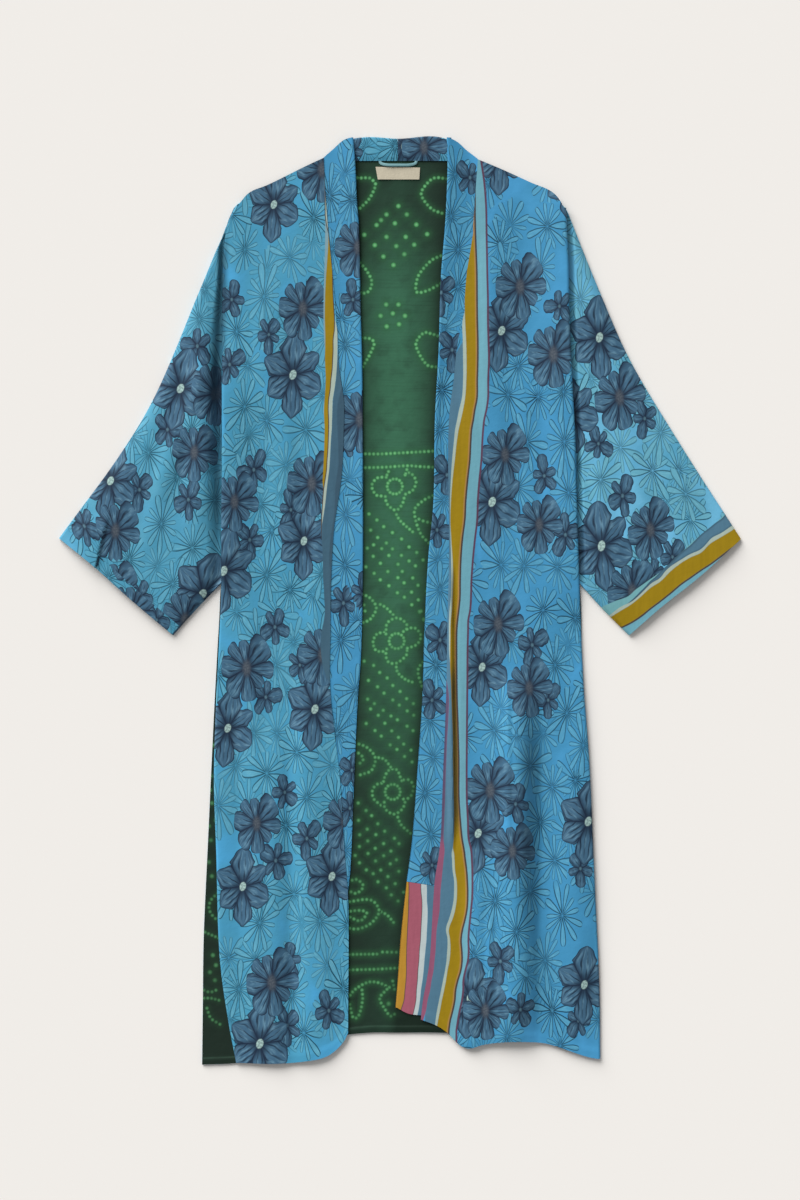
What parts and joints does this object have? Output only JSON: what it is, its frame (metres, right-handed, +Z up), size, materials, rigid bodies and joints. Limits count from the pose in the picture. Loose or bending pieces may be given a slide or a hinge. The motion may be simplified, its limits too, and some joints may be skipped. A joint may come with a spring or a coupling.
{
  "type": "kimono robe",
  "caption": "Long open-front kimono robe of printed silk with flared sleeves, a full-length band collar and a dotted lining, laid flat on its back.",
  "frame": {"origin": "on the surface that the robe lies on, under the middle of its box in X and Y", "axes": "+X to the viewer's right, +Y from the hem to the neck, +Z up from the surface"},
  "size_m": [0.92, 1.2522, 0.0137],
  "materials": {
    "printed_silk": "azure silk with a slate and teal flower print, soft sheen",
    "striped_silk": "striped silk, pink, white, slate and orange, soft sheen",
    "dotted_lining": "dark green tie-dyed cloth with light green dots, soft sheen",
    "label_weave": "plain cream woven tape, matt"
  },
  "bodies": {
    "root": {"back_panel": "printed_silk", "back_lining": "dotted_lining", "left_front": "printed_silk", "right_front": "printed_silk", "left_sleeve": "printed_silk", "right_sleeve": "printed_silk", "left_band": "printed_silk", "neck_band_left": "printed_silk", "neck_band_right": "printed_silk", "right_band": "printed_silk", "right_band_end": "striped_silk", "hanging_loop": "printed_silk", "neck_label": "label_weave"}
  },
  "joints": []
}
